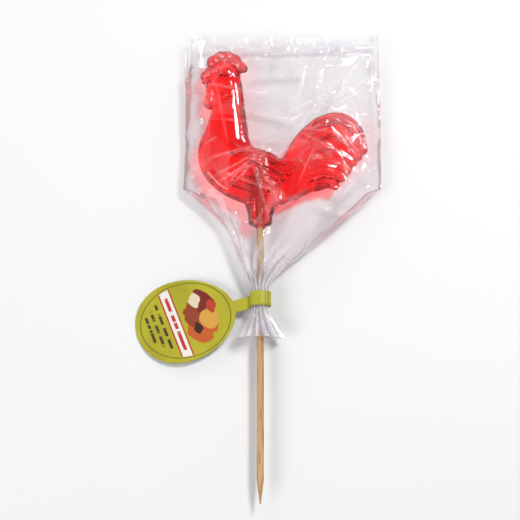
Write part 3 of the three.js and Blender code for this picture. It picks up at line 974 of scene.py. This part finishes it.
def label_half_width(along):
    """Half the label's width: a narrow waist that widens into the oval."""
    place = np.clip((along - LABEL_NEAR - LABEL_LENGTH / 2) / (LABEL_LENGTH / 2), -1, 1)
    oval = LABEL_WIDTH / 2 * np.sqrt(1 - place ** 2) * (1 + 0.1 * place)
    waist = WAIST_WIDTH / 2 * (1 - smooth(LABEL_NEAR + 2, LABEL_NEAR + 9, along))
    return (oval ** 4 + waist ** 4) ** 0.25


def card_faces(rows, columns, flip=False):
    """Faces of a card: the grid of its upper points, that of its lower ones, and a rim between them."""
    count = rows * columns
    faces = grid_faces(rows, columns, flip=flip) + grid_faces(rows, columns, count, flip=not flip)
    index = np.arange(count).reshape(rows, columns)
    rim = np.concatenate([index[:, 0], index[-1, 1:], index[-2::-1, -1], index[0, -2:0:-1]])
    after = np.roll(rim, -1)
    a, b = (after, rim) if flip else (rim, after)
    return faces + np.stack([a, b, b + count, a + count], 1).tolist()


def make_label(front, back):
    rows, columns = LABEL_GRID
    start = LOOP_RADIUS - 0.05
    along = start + (LABEL_END - start) * np.sin(np.linspace(0, 1, rows) * math.pi / 2)
    half = np.maximum(label_half_width(along), 0.02)
    across = half[:, None] * np.linspace(-1, 1, columns)[None, :]
    along = np.repeat(along[:, None], columns, 1)
    sides = [on_sheet(along, across, above).reshape(-1, 3) for above in (PAPER / 2, -PAPER / 2)]
    piece = new_piece("oval_label", np.concatenate(sides), card_faces(rows, columns), [front, back])
    mesh = piece.data
    is_back = np.arange(len(mesh.polygons)) >= (rows - 1) * (columns - 1)
    mesh.polygons.foreach_set("material_index", is_back.astype(np.int32))
    flat = np.stack([(along.ravel() - LABEL_NEAR) / LABEL_LENGTH, across.ravel() / LABEL_WIDTH + 0.5], 1)
    corners = values_of(mesh.loops, "vertex_index", 1, np.int32).ravel()
    print_map = mesh.uv_layers.new(name="print")
    print_map.data.foreach_set("uv", np.concatenate([flat, flat])[corners].ravel())
    return piece


def make_loop(material):
    """The label's strip wound once round the gathered neck, its end lying over its start."""
    steps, across = LOOP_GRID
    turns = np.linspace(0, 2 * math.pi * LOOP_TURNS, steps)[:, None]
    widths = np.linspace(-LOOP_WIDTH / 2, LOOP_WIDTH / 2, across)
    sides = []
    for lift in (0, PAPER * 0.75):
        radius = LOOP_RADIUS + lift + PAPER * 0.9 * turns / turns[-1]
        place = np.broadcast_arrays(radius * np.cos(turns), LOOP_MIDDLE + widths, radius * np.sin(turns))
        sides.append(np.stack(place, -1).reshape(-1, 3))
    return new_piece("label_loop", np.concatenate(sides), card_faces(*LOOP_GRID, flip=True), [material])


# Materials

class Graph:
    """The nodes of a new material or of a world, with short ways to add and link them."""

    def __init__(self, name, world=False):
        self.owner = (bpy.data.worlds if world else bpy.data.materials).new(name)
        self.owner.use_nodes = True
        self.tree = self.owner.node_tree
        self.tree.nodes.clear()
        self.output = self.add("OutputWorld" if world else "OutputMaterial")

    def add(self, kind, inputs=None, **settings):
        node = self.tree.nodes.new("ShaderNode" + kind)
        for name, value in settings.items():
            setattr(node, name, value)
        for name, value in (inputs or {}).items():
            self.feed(node.inputs[name], value)
        return node

    def feed(self, socket, value):
        if isinstance(value, bpy.types.NodeSocket):
            self.tree.links.new(value, socket)
        elif socket.type == "RGBA" and len(value) == 3:
            socket.default_value = (*value, 1)
        else:
            socket.default_value = value

    def math(self, operation, a, b=0.0, c=0.0):
        node = self.add("Math", operation=operation)
        for socket, value in zip(node.inputs, (a, b, c)):
            self.feed(socket, value)
        return node.outputs[0]

    def times(self, a, b):
        return self.math("MULTIPLY", a, b)

    def ramp(self, value, low, high):
        """0 where value is at low and 1 where it is at high, limited between them."""
        node = self.add("MapRange", {0: value, 1: low, 2: high, 3: 0.0, 4: 1.0}, clamp=True)
        return node.outputs[0]

    def colours(self, share, a, b):
        node = self.add("Mix", data_type="RGBA")
        self.feed(node.inputs[0], share)
        self.feed(node.inputs[6], a)
        self.feed(node.inputs[7], b)
        return node.outputs[2]

    def place(self):
        return self.add("TexCoord").outputs["Object"]

    def cloud(self, place, scale, detail=2.0, **settings):
        """Uneven noise, from 0 to 1. The scale is its waves in each unit of the place."""
        inputs = {"Vector": place, "Scale": scale, "Detail": detail}
        return self.add("TexNoise", inputs, **settings).outputs[0]

    def bump(self, height, strength, distance=0.0002):
        inputs = {"Strength": strength, "Distance": distance, "Height": height}
        return self.add("Bump", inputs).outputs[0]

    def mixed(self, share, a, b):
        return self.add("MixShader", {0: share, 1: a, 2: b}).outputs[0]

    def shader(self, kind, **inputs):
        """A shader, its inputs named as they are in Blender, with a low line for each space."""
        named = {name.replace("_", " "): value for name, value in inputs.items()}
        return self.add(kind, named).outputs[0]

    def finish(self, surface, volume=None):
        self.feed(self.output.inputs["Surface"], surface)
        if volume is not None:
            self.feed(self.output.inputs["Volume"], volume)
        return self.owner


def candy_material():
    """Clear boiled sugar: red by depth, with painted shade where it turns away. Lamps shine through it.
    """
    g = Graph("red_boiled_sugar")
    bump = g.bump(g.cloud(g.place(), 260.0), 0.1, 0.0004)
    facing = g.add("SeparateXYZ", {0: g.add("NewGeometry").outputs["Normal"]})
    flat = g.ramp(g.math("ABSOLUTE", facing.outputs[2]), 0.4, 0.99)
    # Painted shade: pale red where the surface faces up, deep red on steep flanks and edges.
    tint_with_painted_shade = g.colours(flat, (0.70, 0.02, 0.04), (1.0, 0.40, 0.40))
    glass = g.shader(
        "BsdfPrincipled", Base_Color=tint_with_painted_shade, Roughness=0.03, IOR=1.5, Transmission_Weight=1.0, Normal=bump,
    )
    lit = g.shader("BsdfTransparent", Color=(1.0, 0.45, 0.45))
    surface = g.mixed(g.add("LightPath").outputs["Is Shadow Ray"], glass, lit)
    return g.finish(surface, g.shader("VolumeAbsorption", Color=(0.93, 0.02, 0.05), Density=215.0))


def film_material():
    """Thin clear film: see-through, mirror bright where it turns away, milky where it is folded, with
    painted reflections and highlights from its haze map.
    """
    g = Graph("clear_film")
    place = g.place()
    bump = g.bump(g.cloud(place, 230.0, noise_type="RIDGED_MULTIFRACTAL"), 0.06, 0.0003)
    clear = g.shader("BsdfTransparent", Color=(0.997, 0.993, 0.999))
    gloss = g.shader(
        "BsdfPrincipled", Base_Color=(0.93, 0.92, 0.95), Metallic=1.0, Roughness=0.04, Normal=bump,
    )
    grazing = g.add("Fresnel", {"IOR": 1.5, "Normal": bump}).outputs[0]
    shine = g.math("MULTIPLY_ADD", grazing, 1.35, -0.03)
    shine = g.math("MINIMUM", g.math("MAXIMUM", shine, 0.0), 0.5)
    thin = g.mixed(shine, clear, gloss)
    milky = g.shader("BsdfPrincipled", Base_Color=(0.90, 0.87, 0.92), Roughness=0.3)
    haze = g.add("Attribute", attribute_name="haze").outputs["Fac"]
    patches = g.cloud(place, 70.0)
    return g.finish(g.mixed(g.times(haze, g.ramp(patches, 0.2, 0.6)), thin, milky))


def wood_material():
    """Pale skewer wood: long fibres over broad bands, with darker streaks."""
    g = Graph("skewer_wood")
    stretched = g.add("Mapping", {"Vector": g.place(), "Scale": (1.0, 0.045, 1.0)}).outputs[0]
    fibres = g.cloud(stretched, 2600.0, 4.0)
    bands = g.cloud(stretched, 700.0)
    body = g.colours(g.ramp(bands, 0.35, 0.65), linear(196, 158, 112), linear(172, 130, 88))
    colour = g.colours(g.ramp(fibres, 0.52, 0.72), body, linear(126, 88, 56))
    bump = g.bump(fibres, 0.5)
    return g.finish(g.shader("BsdfPrincipled", Base_Color=colour, Roughness=0.62, Normal=bump))


def from_middle(g, along, across, half_long, half_wide, power):
    """How far from the middle, 1 on an oval of those halves. A power below 2 makes it a diamond."""
    parts = []
    for value, half in ((along, half_long), (across, half_wide)):
        parts.append(g.math("POWER", g.math("ABSOLUTE", g.math("DIVIDE", value, half)), power))
    return g.math("ADD", *parts)


def label_places(g):
    """Places along the label from its middle and across it, and how near the rim, from 0 to 1."""
    flat = g.add("SeparateXYZ", {0: g.add("UVMap", uv_map="print").outputs[0]})
    along = g.math("MULTIPLY_ADD", flat.outputs[0], LABEL_LENGTH, -LABEL_LENGTH / 2)
    across = g.math("MULTIPLY_ADD", flat.outputs[1], LABEL_WIDTH, -LABEL_WIDTH / 2)
    rim = g.math("SQRT", from_middle(g, along, across, LABEL_LENGTH / 2, LABEL_WIDTH / 2, 2.0))
    return along, across, rim


def between(g, value, low, high, soft=0.12):
    """1 where value lies between low and high, with soft edges."""
    return g.times(g.ramp(value, low - soft, low + soft), g.ramp(value, high + soft, high - soft))


def box_mark(g, along, low, high, across, left, right):
    """1 inside a rectangle with soft edges."""
    return g.times(between(g, along, low, high), between(g, across, left, right))


def lozenge(g, along, across, half_long, half_wide):
    """1 inside a diamond with slightly bulging sides."""
    return g.ramp(from_middle(g, along, across, half_long, half_wide, 1.4), 1.03, 0.97)


def card(g, colour, roughness, grain, **coat):
    """Fine-grained card of that colour."""
    coat.update(Base_Color=colour, Roughness=roughness)
    bump = g.bump(g.cloud(g.place(), 900.0, 4.0), grain)
    return g.finish(g.shader("BsdfPrincipled", Normal=bump, **coat))


def dashes(g, row, run, scale):
    """Where a row is broken into plain dashes: 1 on a dash and 0 in the gaps."""
    spot = g.add("CombineXYZ", {0: run, 1: row}).outputs[0]
    return g.ramp(g.cloud(spot, scale), 0.42, 0.48)


# The front's print. A blob is its middle along and across, its half sizes and its colour.
OLIVE, DARK_OLIVE, RIM_OLIVE = linear(178, 171, 42), linear(157, 150, 30), linear(116, 110, 30)
MIDDLE_OLIVE = linear(167, 161, 37)
BLOBS = [
    (-7.5, -4.5, 6.0, 7.0, (120, 34, 24)), (-6.0, 5.0, 6.6, 6.4, (188, 88, 34)),
    (-9.6, 1.6, 4.2, 4.6, (206, 152, 66)), (-3.0, -1.6, 3.4, 5.6, (140, 62, 32)),
    (-5.6, -7.2, 2.6, 3.3, (216, 202, 168)), (-4.4, 4.4, 1.9, 2.6, (62, 30, 22)),
    (-11.6, -3.2, 2.2, 2.8, (178, 58, 34)),
]

# A band is where it starts and ends along the label, and its colour. A bar is its middle, the
# half of its width and how far it reaches to each side.
BANDS = [(1.8, 7.0, (178, 34, 30)), (2.4, 6.4, (226, 222, 214))]
BARS = [(9.4, 10.0), (12.2, 8.4), (15.0, 5.6)]
BAR_HALF = 0.62


def front_material():
    """Satin card, yellow-green, with warm blobs, a pale band with red edges and broken bars."""
    g = Graph("label_front")
    along, across, rim = label_places(g)
    place = g.place()
    colour = g.colours(g.ramp(g.cloud(place, 60.0), 0.3, 0.7), OLIVE, DARK_OLIVE)
    colour = g.colours(between(g, rim, 0.89, 0.915, 0.004), colour, RIM_OLIVE)
    moved = g.math("MULTIPLY_ADD", g.cloud(place, 420.0), 2.4, -1.2)
    bent_along, bent_across = g.math("ADD", along, moved), g.math("SUBTRACT", across, moved)
    for middle, aside, half_long, half_wide, shade in BLOBS:
        aside = g.math("SUBTRACT", bent_across, aside)
        spot = lozenge(g, g.math("SUBTRACT", bent_along, middle), aside, half_long, half_wide)
        colour = g.colours(spot, colour, linear(*shade))
    inside = g.ramp(rim, 0.88, 0.87)
    tilted = g.math("MULTIPLY_ADD", across, 0.12, along)
    for low, high, shade in BANDS:
        colour = g.colours(g.times(between(g, tilted, low, high), inside), colour, linear(*shade))
    mark = g.times(between(g, tilted, 3.7, 5.1), dashes(g, 1.5, across, 0.55))
    colour = g.colours(g.times(mark, g.ramp(rim, 0.72, 0.70)), colour, linear(186, 44, 40))
    for middle, reach in BARS:
        bar = box_mark(g, tilted, middle - BAR_HALF, middle + BAR_HALF, across, -reach, reach)
        bar = g.times(bar, dashes(g, middle, across, 0.6))
        colour = g.colours(bar, colour, linear(66, 58, 24))
    return card(g, colour, 0.38, 0.12, Coat_Weight=0.25, Coat_Roughness=0.14)


def strip_material():
    """The label's plain card where it is a narrow strip, coloured like its front."""
    return card(Graph("label_strip"), MIDDLE_OLIVE, 0.4, 0.15)


def back_material():
    """Grey-white card with rows of fine grey dashes and three dark marks by the far rim."""
    g = Graph("label_back")
    along, across, rim = label_places(g)
    slanted = g.math("ADD", g.times(along, 0.87), g.times(across, 0.5))
    sideways = g.math("SUBTRACT", g.times(across, 0.87), g.times(along, 0.5))
    row = g.math("DIVIDE", slanted, 1.35)
    in_row = between(g, g.math("FRACT", row), 0.3, 0.72, 0.06)
    ink = g.times(in_row, dashes(g, g.math("FLOOR", row), sideways, 0.7))
    ink = g.times(ink, g.ramp(rim, 0.86, 0.84))
    colour = g.colours(ink, linear(166, 156, 158), linear(110, 102, 106))
    for middle in (-3.4, 0.0, 3.4):
        mark = box_mark(g, along, 15.4, 17.6, across, middle - 1.1, middle + 1.1)
        colour = g.colours(mark, colour, linear(30, 28, 32))
    return card(g, colour, 0.55, 0.25)


# Stage

HORIZON = 0.72
ZENITH = 0.16
TABLE_HALF = 1.5

# A lamp is its place, its width and height, and its power.
LAMPS = {
    "window": ((0.38, 0.36, 0.75), (0.2, 0.2), 5.8),
    "back_light": ((-0.2, 0.8, 0.35), (0.7, 0.12), 1.3),
    "side_fill": ((-0.6, -0.3, 0.6), (0.4, 0.4), 3.4),
}
LAMP_TARGET = Vector((0.0, 0.01, 0.0))

CAMERA_ELEVATION = math.radians(78)
CAMERA_LENS = 90
CAMERA_SENSOR = 36
VIEW_MARGIN = 1.09


def table_material():
    """A pale table that passes into the white of the room far from the lollipop."""
    g = Graph("pale_table")
    place = g.place()
    colour = g.colours(g.cloud(place, 6.0, 3.0), (0.75, 0.75, 0.76), (0.79, 0.79, 0.79))
    near = g.shader("BsdfPrincipled", Base_Color=colour, Roughness=0.6)
    backdrop = g.shader("Emission", Color=(1, 1, 1), Strength=HORIZON)
    away = g.add("VectorMath", {0: place}, operation="LENGTH").outputs["Value"]
    return g.finish(g.mixed(g.ramp(away, 0.4, 1.3), near, backdrop))


def studio_world():
    """A white room, bright low down and dim overhead."""
    g = Graph("studio", world=True)
    up = g.add("SeparateXYZ", {0: g.add("TexCoord").outputs["Generated"]}).outputs["Z"]
    strength = g.add("MapRange", {0: up, 1: 0.25, 2: 0.85, 3: HORIZON, 4: ZENITH}).outputs[0]
    return g.finish(g.shader("Background", Color=(1, 1, 1), Strength=strength))


def make_stage():
    """The table, the lamps and the room."""
    corners = [(x * TABLE_HALF, y * TABLE_HALF, 0) for x, y in ((-1, -1), (1, -1), (1, 1), (-1, 1))]
    mesh = bpy.data.meshes.new("table")
    mesh.from_pydata(corners, [], [(0, 1, 2, 3)])
    mesh.materials.append(table_material())
    linked("table", mesh)
    for name, (place, size, power) in LAMPS.items():
        light = bpy.data.lights.new(name, "AREA")
        light.shape = "RECTANGLE"
        light.size, light.size_y = size
        light.energy = power
        lamp = linked(name, light)
        lamp.location = place
        lamp.rotation_euler = (LAMP_TARGET - Vector(place)).to_track_quat("-Z", "Y").to_euler()
    bpy.context.scene.world = studio_world()
    bpy.context.scene.view_settings.view_transform = "Standard"


def make_camera():
    """A camera that looks down on the lollipop and holds the whole of its box."""
    low, high = CAD_BOX
    sine, cosine = math.sin(CAMERA_ELEVATION), math.cos(CAMERA_ELEVATION)
    tall = (high.y - low.y) * sine + (high.z - low.z) * cosine
    distance = tall * VIEW_MARGIN / 2 / (CAMERA_SENSOR / 2 / CAMERA_LENS)
    camera = linked("camera", bpy.data.cameras.new("camera"))
    camera.data.lens = CAMERA_LENS
    camera.data.sensor_width = CAMERA_SENSOR
    camera.location = (low + high) / 2 + distance * Vector((0, -cosine, sine))
    camera.rotation_euler = (math.pi / 2 - CAMERA_ELEVATION, 0, 0)
    bpy.context.scene.camera = camera


def place_piece(piece, node):
    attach(piece, "root")
    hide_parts(node)


make_camera()
candy = make_candy(candy_material())
clear_film = film_material()
place_piece(candy, "candy")
place_piece(make_skewer(wood_material()), "stick")
for film in [*make_film(candy, clear_film), *make_gather_layers(clear_film)]:
    place_piece(film, "film_bag")
place_piece(make_label(front_material(), back_material()), "label")
place_piece(make_loop(strip_material()), "label")
make_stage()
